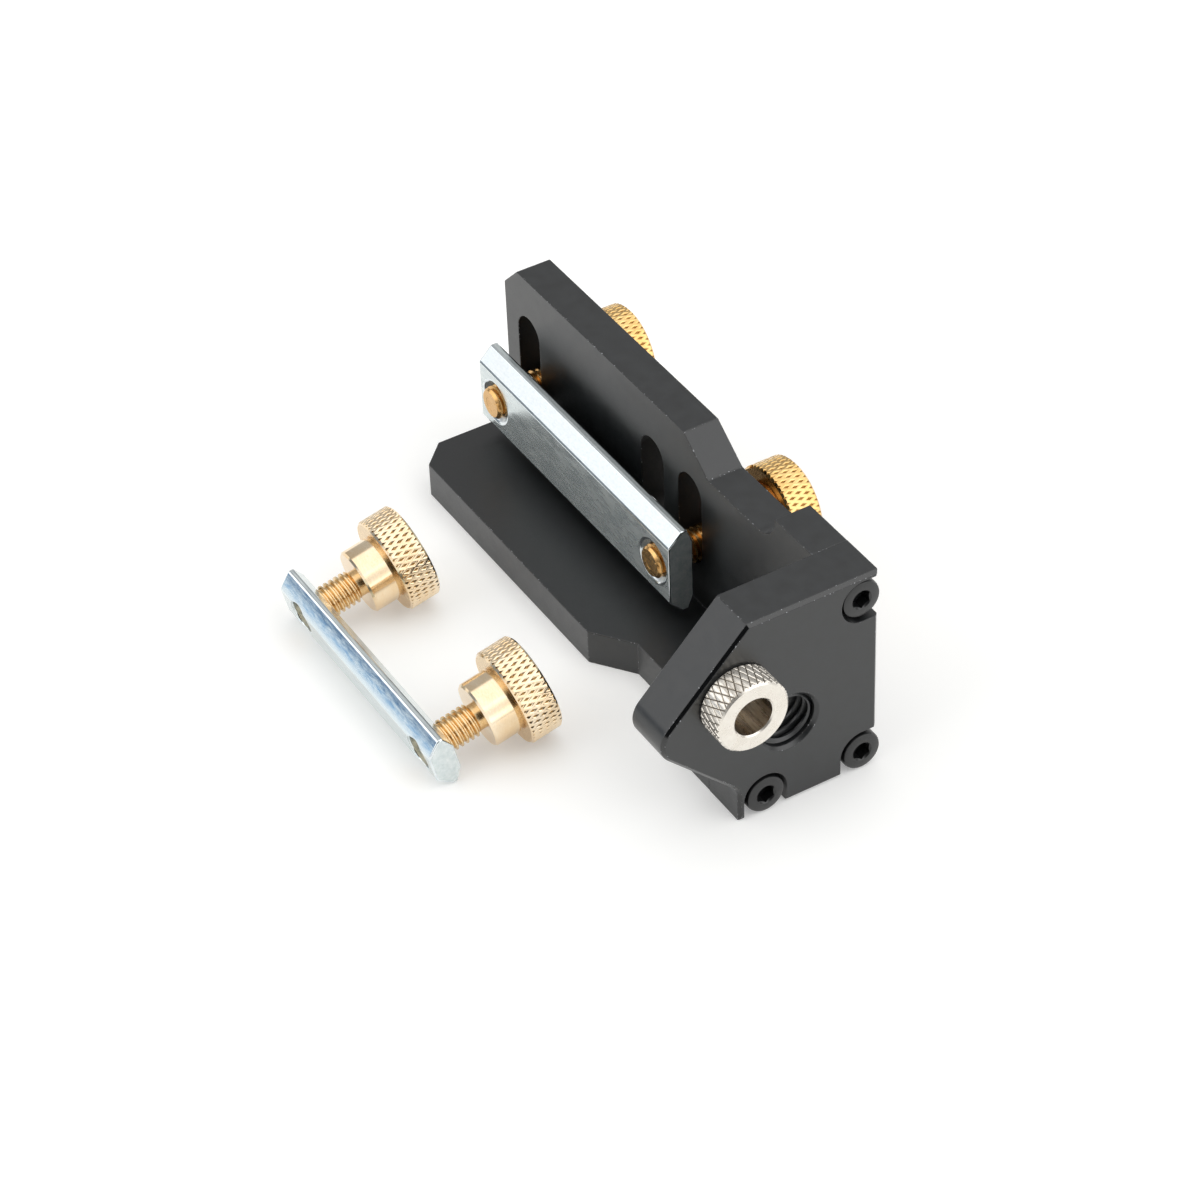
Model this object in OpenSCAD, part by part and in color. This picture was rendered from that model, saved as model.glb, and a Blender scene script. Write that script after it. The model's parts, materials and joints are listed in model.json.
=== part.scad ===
// Tapping guide jig: an angle body with an end plate, a guide bushing and two slotted clamp bars.
// +X runs along the body to the end plate, +Y to the back, +Z up.
// The origin is on the underside, below the inner corner, at the middle of the angle body.

/* [Angle body] */
// Length of the angle body
body_l = 95.2; // [92:0.2:140]
// Thickness of both legs
leg_t = 6.7; // [6:0.1:9]
// Outside height of the back leg
back_h = 40; // [38:0.5:60]
// Outside width of the bottom leg
base_w = 26.2; // [24:0.2:36]
// Chamfer at the free corner of each leg
corner_c = 4.5; // [1:0.5:6]
// Length of the solid block beside the end plate
block_l = 10.5; // [10:0.5:14]
// Depth of the notch in the edge of each leg
notch_d = 5.3; // [3:0.1:6]
// Length of the notch along the edge
notch_l = 26.8; // [20:0.2:30]
// Length of the notch's sloped end
notch_slope = 7.2; // [4:0.2:9]
// Radius at the notch's square end
notch_r = 5; // [2:0.5:6]

/* [Slots] */
// Width of the slots in the back leg
slot_w = 7; // [6.4:0.1:8]
// Rise of the clamp screws from one end of the slots to the other
slot_rise = 11.8; // [8:0.1:14]
// Distance from the free end to the first slot
slot_end = 7.7; // [6:0.1:10]
// Gap between a clamp screw and the slot's end
slot_seat = 0.05; // [0.02:0.01:0.2]
// Rise of the clamp above the middle of the small profile, at the slots' lower ends
slot_lift = 0.5; // [0:0.1:2]

/* [Profiles that the jig holds] */
// Width of the small profile
small_profile = 20; // [18:1:22]
// Width of the large profile
large_profile = 40; // [36:1:42]

/* [End plate] */
// Thickness of the end plate
plate_t = 8.8; // [7:0.1:10]
// Wall between the large guide hole and the arm's upper edge
arm_rim = 2.6; // [2:0.1:4]
// Height of the straight side of the plate's foot
foot_h = 6.6; // [5:0.2:8]
// Radius of the arm's tip
arm_r = 4.5; // [2:0.5:6]
// Radius where the arm meets the foot
foot_r = 3.5; // [1:0.5:6]
// Diameter of the guide holes
guide_d = 10; // [9:0.1:11]
// Chamfer at the mouth of the guide holes
guide_c = 0.6; // [0.2:0.1:1]

/* [Guide bushing] */
// Diameter of the bushing's knurled collar
bush_d = 13; // [12.5:0.1:15]
// Length of the collar
bush_l = 5.5; // [4:0.1:9]
// Diameter of the bushing's bore
bush_bore = 6.9; // [5:0.1:7.2]
// Chamfer on the bushing's edges
bush_c = 0.3; // [0.1:0.05:0.5]
// Radial play of the bushing in its guide hole
bush_play = 0.05; // [0.02:0.01:0.1]

/* [Cap screws] */
// Thread diameter of the cap screws
cap_d = 4; // [3:0.5:4]
// Length of the cap screws under the head
cap_l = 12; // [10:1:14]
// Diameter of the heads
cap_head_d = 7; // [6:0.1:7]
// Height of the heads
cap_head_h = 4; // [3:0.1:4.5]
// Chamfer on the heads and the thread's tip
cap_c = 0.4; // [0.2:0.05:0.5]
// Width across the flats of the hex sockets
cap_socket = 3; // [2:0.5:3.5]
// Depth of the hex sockets
cap_socket_h = 2; // [1.5:0.1:2.5]
// Depth of the top screw's head below the end plate's face
cap_sink = 0.4; // [0:0.05:0.6]
// Rise of the lower screws' heads above the end plate's face
cap_rise = 0.2; // [0:0.05:0.5]
// Gap round the heads in their seats
cap_room = 0.5; // [0.3:0.1:0.7]
// Radial play in the end plate's screw holes
cap_pass = 0.25; // [0.1:0.05:0.4]
// Radial play in the threaded screw holes
cap_play = 0.05; // [0.02:0.01:0.1]
// Room past the tip of each cap screw
cap_tip = 0.6; // [0.4:0.1:1]
// Distance of two screws from the outside of the back leg
cap_side = 2.9; // [2.8:0.1:3.4]
// Height of two screws above the underside
cap_base = 3.6; // [3.6:0.1:4]
// Distance of the outer screws from each leg's edge
cap_end = 5; // [4.5:0.1:6]

/* [Clamp bars] */
// Spacing of the large bar's screws
large_pitch = 51.6; // [50:0.1:54]
// Spacing of the small bar's screws
small_pitch = 40; // [34:0.5:41]
// Height of the large bar
large_bar_h = 16.7; // [14:0.1:18]
// Height of the small bar
small_bar_h = 10.4; // [9:0.1:12]
// Length of each bar past its screws
bar_end = 5; // [4.5:0.1:7]
// Length of the small bar past its far screw
small_end = 5.9; // [4.5:0.1:7]
// Drop of the bevels, on each side of a bar
bar_drop = 2.6; // [1.5:0.05:3]
// Thickness of a bar's front bevel
bar_slope = 2.5; // [1.5:0.1:3]
// Thickness of a bar's flat edge
bar_lip = 0.8; // [0.5:0.1:2]
// Thickness of a bar's rear bevel
bar_back = 1.4; // [0.5:0.1:2]
// Diameter of the countersinks in the large bar
large_csk = 8.1; // [6.8:0.1:9]
// Diameter of the countersinks in the small bar
small_csk = 6.7; // [6.5:0.1:7]
// Gap between the large bar and the back leg
large_gap = 2.6; // [1:0.1:4]
// Gap between the small bar and the hubs of its screws
small_gap = 6.7; // [5:0.1:8]

/* [Thumb screws] */
// Diameter of the thumb screws' thread
screw_d = 5.9; // [5:0.1:6]
// Radial play of the thread in a bar
screw_play = 0.07; // [0.02:0.01:0.1]
// Thread length of the large bar's screws
long_l = 17.7; // [17:0.1:22]
// Thread length of the small bar's screws
short_l = 10.1; // [9.5:0.1:14]
// Length of the thread's relief beside the hub
relief_l = 0.7; // [0.4:0.1:1.5]
// Depth of the relief
relief_d = 0.6; // [0.3:0.1:0.9]
// Diameter of the hub
hub_d = 11.6; // [10:0.1:13]
// Length of the hub
hub_l = 5.2; // [4:0.1:8]
// Chamfer on the hub
hub_c = 0.4; // [0.2:0.1:0.8]
// Diameter of the knurled head
head_d = 17.1; // [15:0.1:20]
// Width of the knurled head
head_w = 5.9; // [4:0.1:8]
// Chamfer on the head's rims and the thread's tip
rim_c = 0.5; // [0.3:0.1:1]
// Gap between the far screw's hub and the back leg
far_gap = 2.7; // [1:0.1:5]
// Gap between the near screw's hub and the back leg
near_gap = 3; // [1:0.1:5]

/* [Small clamp beside the jig] */
// Place along the jig of the small clamp's near screw
small_x = 18.6; // [0:0.1:30]
// Distance between the bottom leg and the small clamp's heads
small_clear = 15; // [8:0.1:30]

/* [Hidden] */
$fn = 96;
cut = 1;
half_l = body_l / 2;

notch_x1 = half_l - block_l;
notch_x0 = notch_x1 - notch_l;
notch_fillet = min(notch_r, notch_d);

screw_r = screw_d / 2;
screw_hole_r = screw_r + screw_play;
screw_z = leg_t + small_profile / 2 + slot_lift;
far_x = slot_end - half_l;
near_x = far_x + large_pitch;
slot_xs = [far_x, far_x + small_pitch, near_x];
slot_low = screw_z - screw_r - slot_seat;
slot_high = screw_z + slot_rise + screw_r + slot_seat;

// Guide holes and cap screws as distances from the outer back face and from the underside
small_guide = leg_t + small_profile / 2;
large_guide = leg_t + large_profile / 2;
cap_top = [cap_side, back_h - cap_end];
cap_corner = [cap_side, cap_base];
cap_foot = [base_w - cap_end, cap_base];
cap_points = [cap_top, cap_corner, cap_foot];
cap_seat_r = cap_head_d / 2 + cap_room;
cap_sinks = [cap_sink, -cap_rise, -cap_rise];
function seat_h(i) = cap_head_h + cap_sinks[i];
function tapped_l(i) = cap_l + seat_h(i) + cap_tip - plate_t;

// The arm's upper edge runs down at 45 degrees from the plate's top
plate_top_w = 2 * large_guide + (guide_d / 2 + arm_rim) * sqrt(2) - back_h;
tip_z = (plate_top_w + back_h - base_w + foot_h) / 2;
tip_out = base_w + tip_z - foot_h;
foot_run = foot_r * tan(22.5);

bar_t = bar_slope + bar_lip + bar_back;

// The small clamp lies on the front corner of its bar and on the rims of its screws
small_lean = atan((head_d - small_bar_h) / 2 / (hub_l + rim_c + small_gap + bar_back + bar_lip));
small_z = (small_gap + bar_back + bar_lip) * sin(small_lean) + small_bar_h / 2 * cos(small_lean);
small_y = leg_t - base_w - small_clear - (hub_l + head_w) * cos(small_lean);

black_anodised = "#4a4c4e";
black_oxide = "#2c2c2d";
nickel = "#e0d8cc";
zinc = "#c3c8d0";
brass = "#c9a24a";

module notch(leg_w) {
    floor_v = leg_w - notch_d;
    arc_x = notch_x1 - notch_fillet;
    arc_v = floor_v + notch_fillet;
    translate([arc_x, arc_v]) circle(notch_fillet);
    polygon([
        [notch_x0, leg_w + cut], [notch_x0, leg_w], [notch_x0 + notch_slope, floor_v],
        [arc_x, floor_v], [arc_x, arc_v], [notch_x1, arc_v], [notch_x1, leg_w + cut]
    ]);
}

module leg(leg_w) {
    difference() {
        polygon([
            [-half_l, 0], [half_l, 0], [half_l, leg_w],
            [corner_c - half_l, leg_w], [-half_l, leg_w - corner_c]
        ]);
        notch(leg_w);
    }
}

module slot() {
    low_c = slot_low + slot_w / 2;
    high_c = slot_high - slot_w / 2;
    for (v = [low_c, high_c]) translate([0, v]) circle(slot_w / 2);
    translate([-slot_w / 2, low_c]) square([slot_w, high_c - low_c]);
}

module angle_body() {
    color(black_anodised) difference() {
        union() {
            translate([0, leg_t, 0]) rotate([90, 0, 0]) linear_extrude(leg_t) leg(back_h);
            translate([0, leg_t, 0]) mirror([0, 1, 0]) linear_extrude(leg_t) leg(base_w);
        }
        for (x = slot_xs)
            translate([x, leg_t + cut, 0]) rotate([90, 0, 0]) linear_extrude(leg_t + 2 * cut) slot();
        for (i = [0:2])
            translate([half_l - tapped_l(i), leg_t - cap_points[i][0], cap_points[i][1]]) rotate([0, 90, 0])
                cylinder(r = cap_d / 2 + cap_play, h = tapped_l(i) + cut);
    }
}

// Outline of the end plate, measured out from the back face and up from the underside
module plate_outline() {
    tip_c = [tip_out - arm_r * sqrt(2), tip_z];
    tip_side = arm_r * sqrt(1 / 2);
    foot_side = foot_run * sqrt(1 / 2);
    translate(tip_c) circle(arm_r);
    polygon([
        [0, 0], [base_w, 0], [base_w, foot_h], tip_c + [tip_side, -tip_side],
        tip_c + [tip_side, tip_side], [plate_top_w, back_h], [0, back_h]
    ]);
    difference() {
        polygon([
            [base_w, foot_h], [base_w, foot_h - foot_run], [base_w + foot_side, foot_h + foot_side]
        ]);
        translate([base_w + foot_r, foot_h - foot_run]) circle(foot_r);
    }
}

// Seat of a cap screw's head, open to the plate's back side or to its underside
module cap_seat(p, to_back, to_base) {
    translate(p) circle(cap_seat_r);
    if (to_back)
        translate([-cut, p[1] - cap_seat_r]) square([p[0] + cut, 2 * cap_seat_r]);
    if (to_base)
        translate([p[0] - cap_seat_r, -cut]) square([2 * cap_seat_r, p[1] + cut]);
}

// Turns a flat outline measured out from the back face into a plate square to X
module across(x, thick) {
    translate([x, leg_t, 0]) rotate([90, 0, 90]) linear_extrude(thick) mirror([1, 0, 0]) children();
}

module end_plate() {
    front_x = half_l + plate_t;
    color(black_anodised) difference() {
        across(half_l, plate_t) plate_outline();
        across(front_x - seat_h(0), seat_h(0) + cut) cap_seat(cap_top, true, false);
        across(front_x - seat_h(1), seat_h(1) + cut) cap_seat(cap_corner, true, true);
        across(front_x - seat_h(2), seat_h(2) + cut) cap_seat(cap_foot, false, true);
        for (p = cap_points)
            across(half_l - cut, plate_t) translate(p) circle(cap_d / 2 + cap_pass);
        for (g = [small_guide, large_guide])
            translate([half_l, leg_t - g, g]) rotate([0, 90, 0]) {
                translate([0, 0, -cut]) cylinder(d = guide_d, h = plate_t + 2 * cut);
                translate([0, 0, plate_t - guide_c])
                    cylinder(r1 = guide_d / 2, r2 = guide_d / 2 + guide_c + cut, h = guide_c + cut);
            }
    }
}

module cap_screw(i) {
    p = cap_points[i];
    r = cap_d / 2;
    head_r = cap_head_d / 2;
    end_z = cap_head_h + cap_l;
    translate([half_l + plate_t - cap_sinks[i], leg_t - p[0], p[1]]) rotate([0, -90, 0])
        color(black_oxide) difference() {
            rotate_extrude() polygon([
                [0, 0], [head_r - cap_c, 0], [head_r, cap_c], [head_r, cap_head_h], [r, cap_head_h],
                [r, end_z - cap_c], [r - cap_c, end_z], [0, end_z]
            ]);
            translate([0, 0, -cut])
                cylinder(d = cap_socket / cos(30), h = cap_socket_h + cut, $fn = 6);
        }
}

module cap_screw_top() { cap_screw(0); }
module cap_screw_corner() { cap_screw(1); }
module cap_screw_foot() { cap_screw(2); }

module guide_bushing() {
    bore_r = bush_bore / 2;
    collar_r = bush_d / 2;
    shank_r = guide_d / 2 - bush_play;
    translate([half_l + plate_t, leg_t - large_guide, large_guide]) rotate([0, 90, 0])
        color(nickel) rotate_extrude() polygon([
            [bore_r, -plate_t], [shank_r - bush_c, -plate_t], [shank_r, bush_c - plate_t], [shank_r, 0],
            [collar_r - bush_c, 0], [collar_r, bush_c], [collar_r, bush_l - bush_c],
            [collar_r - bush_c, bush_l], [bore_r + bush_c, bush_l], [bore_r, bush_l - bush_c]
        ]);
}

// A bevelled bar whose rear face is at Y 0 and whose near screw is at X 0
module bar(bar_h, pitch, csk_d, far_end) {
    edge = bar_h / 2;
    face = edge - bar_drop;
    lip_y = -bar_back - bar_lip;
    csk_l = csk_d / 2 - screw_hole_r;
    color(zinc) difference() {
        translate([-pitch - far_end, 0, 0]) rotate([90, 0, 90]) linear_extrude(pitch + far_end + bar_end)
            polygon([
                [0, -face], [0, face], [-bar_back, edge], [lip_y, edge],
                [-bar_t, face], [-bar_t, -face], [lip_y, -edge], [-bar_back, -edge]
            ]);
        for (x = [0, -pitch]) translate([x, 0, 0]) rotate([90, 0, 0]) {
            translate([0, 0, -cut]) cylinder(r = screw_hole_r, h = bar_t + 2 * cut);
            translate([0, 0, bar_t - csk_l])
                cylinder(r1 = screw_hole_r, r2 = csk_d / 2 + cut, h = csk_l + cut);
        }
    }
}

// A knurled thumb screw along +Y, with the bearing face of its hub at Y 0
module thumb_screw(thread_l) {
    hub_r = hub_d / 2;
    head_r = head_d / 2;
    end_y = hub_l + head_w;
    color(brass) rotate([-90, 0, 0]) rotate_extrude() polygon([
        [0, -thread_l], [screw_r - rim_c, -thread_l], [screw_r, rim_c - thread_l],
        [screw_r, -relief_l], [screw_r - relief_d, -relief_l], [screw_r - relief_d, 0],
        [hub_r - hub_c, 0], [hub_r, hub_c], [hub_r, hub_l], [head_r - rim_c, hub_l],
        [head_r, hub_l + rim_c], [head_r, end_y - rim_c], [head_r - rim_c, end_y], [0, end_y]
    ]);
}

module clamp_bar() {
    translate([near_x, -large_gap, screw_z]) bar(large_bar_h, large_pitch, large_csk, bar_end);
}

module clamp_screw_far() {
    translate([far_x, leg_t + far_gap, screw_z]) thumb_screw(long_l);
}

module clamp_screw_near() {
    translate([near_x, leg_t + near_gap, screw_z]) thumb_screw(long_l);
}

// Lays a piece of the small clamp on the table, leaning on the rims of its screws
module laid(x) {
    translate([x, small_y, small_z]) rotate([small_lean, 0, 0]) children();
}

module spare_bar() {
    laid(small_x) translate([0, -small_gap, 0]) bar(small_bar_h, small_pitch, small_csk, small_end);
}

module spare_screw_far() { laid(small_x - small_pitch) thumb_screw(short_l); }
module spare_screw_near() { laid(small_x) thumb_screw(short_l); }

angle_body();
end_plate();
cap_screw_top();
cap_screw_corner();
cap_screw_foot();
guide_bushing();
clamp_bar();
clamp_screw_far();
clamp_screw_near();
spare_bar();
spare_screw_far();
spare_screw_near();
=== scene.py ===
import json
import math

import bpy
from mathutils import Matrix, Vector


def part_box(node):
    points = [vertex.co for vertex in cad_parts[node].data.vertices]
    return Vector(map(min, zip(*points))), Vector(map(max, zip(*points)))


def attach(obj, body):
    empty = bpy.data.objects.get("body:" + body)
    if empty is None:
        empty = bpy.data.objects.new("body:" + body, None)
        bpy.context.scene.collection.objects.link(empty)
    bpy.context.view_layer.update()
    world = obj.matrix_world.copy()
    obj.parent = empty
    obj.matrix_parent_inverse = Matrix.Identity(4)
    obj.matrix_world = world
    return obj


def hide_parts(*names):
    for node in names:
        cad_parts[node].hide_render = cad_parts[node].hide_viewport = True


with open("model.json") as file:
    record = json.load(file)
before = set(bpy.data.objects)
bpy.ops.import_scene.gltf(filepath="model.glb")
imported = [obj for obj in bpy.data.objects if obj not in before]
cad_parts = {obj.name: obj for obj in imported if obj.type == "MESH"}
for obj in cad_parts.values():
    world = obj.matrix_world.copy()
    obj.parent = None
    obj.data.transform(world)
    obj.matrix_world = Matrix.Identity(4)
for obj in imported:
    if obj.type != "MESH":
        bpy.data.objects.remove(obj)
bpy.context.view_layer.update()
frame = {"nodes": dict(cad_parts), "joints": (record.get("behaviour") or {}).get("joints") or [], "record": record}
mm = 0.001  # the scene is in metres, the sizes below in millimetres
fullTurn = 2 * math.pi
alongX = Vector((1, 0, 0))  # from the jig's free end to its end plate
joints = {j["child"]: j for j in frame["joints"]}
capNodes = ("cap_screw_top", "cap_screw_corner", "cap_screw_foot")
bpy.ops.object.select_all(action="DESELECT")
print("frame: %d nodes" % len(frame["nodes"]))

# What the pieces share, with angles in degrees.
shared = {
    "weld": 1e-4, "fineWeld": 1e-5, "place": 1e-3,  # what counts as touching, in millimetres
    "nodeWeld": 2e-6, "nodePlace": 1e-5, "nodeFlat": 1e-6,  # the same on copies of CAD nodes, in metres
    "flatAngle": 0.6, "bevelAngle": 28, "shadeAngle": 40, "flatWeight": 100,
    "lineShare": 0.1,  # how near a row's edge counts as on it, in rows of a knurl
    "spareTurns": 3,  # turns of a thread past its two ends, to be trimmed off
    "threadSteps": 40, "threadFlanks": (0.08, 0.36, 0.62, 0.9),  # ends of root and crest, in pitches
}


def hexColour(text):  # sRGB hex to linear
    parts = [int(text[i:i + 2], 16) / 255 for i in (1, 3, 5)]
    linear = [p / 12.92 if p <= 0.04045 else ((p + 0.055) / 1.055) ** 2.4 for p in parts]
    return (*linear, 1.0)


# A Mix node takes its share at 0, numbers at 2 and 3, and colours at 6 and 7.
def addNode(tree, kind, inputs=(), links=(), **settings):
    node = tree.nodes.new(kind)
    for key, value in settings.items():
        setattr(node, key, value)
    for key, value in dict(inputs).items():
        node.inputs[key].default_value = value
    for key, source in dict(links).items():
        tree.links.new(source, node.inputs[key])
    return node


def tints(colours):  # both colours of a Mix node
    return {6: hexColour(colours[0]), 7: hexColour(colours[1])}


def span(side, limits):  # both limits of one side of a Map Range node
    return {side + " Min": limits[0], side + " Max": limits[1]}


def startMaterial(name):  # an empty tree with its output
    material = bpy.data.materials.new(name)
    material.use_nodes = True
    tree = material.node_tree
    tree.nodes.clear()
    output = addNode(tree, "ShaderNodeOutputMaterial")
    place = addNode(tree, "ShaderNodeTexCoord").outputs["Object"]
    return material, tree, output, place


def perMm(size):  # texture scale for a feature of this many millimetres
    return 1 / (size * mm)


# Anodised aluminium, fine blasted: a black dyed oxide whose tone is nearly all satin gloss, a little uneven.
# The blasted grain is really finer than 0.1 mm, and is drawn coarser so that it shows.
anodised = {
    "anodisedAluminium": {  # outer faces: charcoal with a soft sheen
        "colours": ("#0c0d0e", "#202325"), "rough": (0.28, 0.39), "ior": 1.65,
        "patch": 2.2, "grain": 0.22, "grainDepth": 0.005,
    },
    "anodisedAluminiumBedShaded": {  # the bed of the bottom leg: duller, so that light fades off slowly along it, and darker colours as painted shade from the bar and the back leg
        "colours": ("#08090a", "#15181a"), "rough": (0.4, 0.5), "ior": 1.58,
        "patch": 2.2, "grain": 0.22, "grainDepth": 0.004,
    },
    "anodisedAluminiumCutShaded": {  # the front chamfer, cut with a sharp tool: smooth and glossy, its darker colours a painted dark reflection
        "colours": ("#08090a", "#101112"), "rough": (0.12, 0.2), "ior": 1.65,
        "patch": 2.2, "grain": 0.3, "grainDepth": 0.002,
    },
    "anodisedAluminiumMilledShaded": {  # walls of the slots: rough from the cutter, with little gloss, and darker colours as painted shade inside the slots
        "colours": ("#08090a", "#121314"), "rough": (0.55, 0.7), "ior": 1.4,
        "patch": 1.2, "grain": 0.3, "grainDepth": 0.02,
    },
}
anodisedNoise = {
    "patchDetail": 3.0, "grainDetail": 2.0, "patchShare": 0.5, "glossSpan": (0.35, 0.65), "bump": 0.35,
}
# The same oxide on the broken edges: glossier, with a few tiny specks of bare metal.
wornEdge = {
    "colours": ("#0f1011", "#1d1f20"), "darkened": "#a8abaf", "rough": (0.22, 0.4), "ior": 1.65,
    "speck": 0.32, "speckDetail": 4.0, "bareSpan": (0.63, 0.68),  # only the peaks of the noise are bare
}


def anodisedMaterial(name):
    material, tree, output, place = startMaterial(name)
    look = anodised[name]
    noise = anodisedNoise
    patch = addNode(tree, "ShaderNodeTexNoise",
                    {"Scale": perMm(look["patch"]), "Detail": noise["patchDetail"]}, {"Vector": place})
    grain = addNode(tree, "ShaderNodeTexNoise",
                    {"Scale": perMm(look["grain"]), "Detail": noise["grainDetail"]}, {"Vector": place})
    colour = addNode(tree, "ShaderNodeMix", tints(look["colours"]), {0: patch.outputs["Fac"]},
                     data_type="RGBA")
    both = addNode(tree, "ShaderNodeMix", {0: noise["patchShare"]},
                   {2: grain.outputs["Fac"], 3: patch.outputs["Fac"]})
    rough = addNode(tree, "ShaderNodeMapRange",
                    {**span("From", noise["glossSpan"]), **span("To", look["rough"])},
                    {"Value": both.outputs[0]})
    bump = addNode(tree, "ShaderNodeBump", {"Strength": noise["bump"], "Distance": look["grainDepth"] * mm},
                   {"Height": grain.outputs["Fac"]})
    shader = addNode(tree, "ShaderNodeBsdfPrincipled", {"IOR": look["ior"]},
                     {"Base Color": colour.outputs[2], "Roughness": rough.outputs[0],
                      "Normal": bump.outputs[0]})
    tree.links.new(shader.outputs[0], output.inputs["Surface"])
    return material


def wornEdgeMaterial():
    material, tree, output, place = startMaterial("anodisedAluminiumWornEdge")
    look = wornEdge
    speck = addNode(tree, "ShaderNodeTexNoise",
                    {"Scale": perMm(look["speck"]), "Detail": look["speckDetail"]}, {"Vector": place})
    spots = addNode(tree, "ShaderNodeMapRange", span("From", look["bareSpan"]),
                    {"Value": speck.outputs["Fac"]})
    base = addNode(tree, "ShaderNodeMix", tints(look["colours"]), {0: speck.outputs["Fac"]},
                   data_type="RGBA")
    colour = addNode(tree, "ShaderNodeMix", {7: hexColour(look["darkened"])},
                     {0: spots.outputs[0], 6: base.outputs[2]}, data_type="RGBA")
    rough = addNode(tree, "ShaderNodeMapRange", span("To", look["rough"]), {"Value": speck.outputs["Fac"]})
    shader = addNode(tree, "ShaderNodeBsdfPrincipled", {"IOR": look["ior"]},
                     {"Base Color": colour.outputs[2], "Roughness": rough.outputs[0]})
    tree.links.new(shader.outputs[0], output.inputs["Surface"])
    return material


# Black oxide steel, oiled: near black with a low gloss and faint grey scale.
oxide = {
    "colours": ("#0b0b0c", "#1b1c1d"), "rough": (0.22, 0.4), "ior": 1.6,
    "scale": 0.5, "scaleDetail": 4.0, "scaleDepth": 0.01, "bump": 0.3,
}


def oxideMaterial():
    material, tree, output, place = startMaterial("blackOxideSteel")
    look = oxide
    scale = addNode(tree, "ShaderNodeTexNoise",
                    {"Scale": perMm(look["scale"]), "Detail": look["scaleDetail"]}, {"Vector": place})
    colour = addNode(tree, "ShaderNodeMix", tints(look["colours"]), {0: scale.outputs["Fac"]},
                     data_type="RGBA")
    rough = addNode(tree, "ShaderNodeMapRange", span("To", look["rough"]), {"Value": scale.outputs["Fac"]})
    bump = addNode(tree, "ShaderNodeBump", {"Strength": look["bump"], "Distance": look["scaleDepth"] * mm},
                   {"Height": scale.outputs["Fac"]})
    shader = addNode(tree, "ShaderNodeBsdfPrincipled", {"IOR": look["ior"]},
                     {"Base Color": colour.outputs[2], "Roughness": rough.outputs[0],
                      "Normal": bump.outputs[0]})
    tree.links.new(shader.outputs[0], output.inputs["Surface"])
    return material


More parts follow.
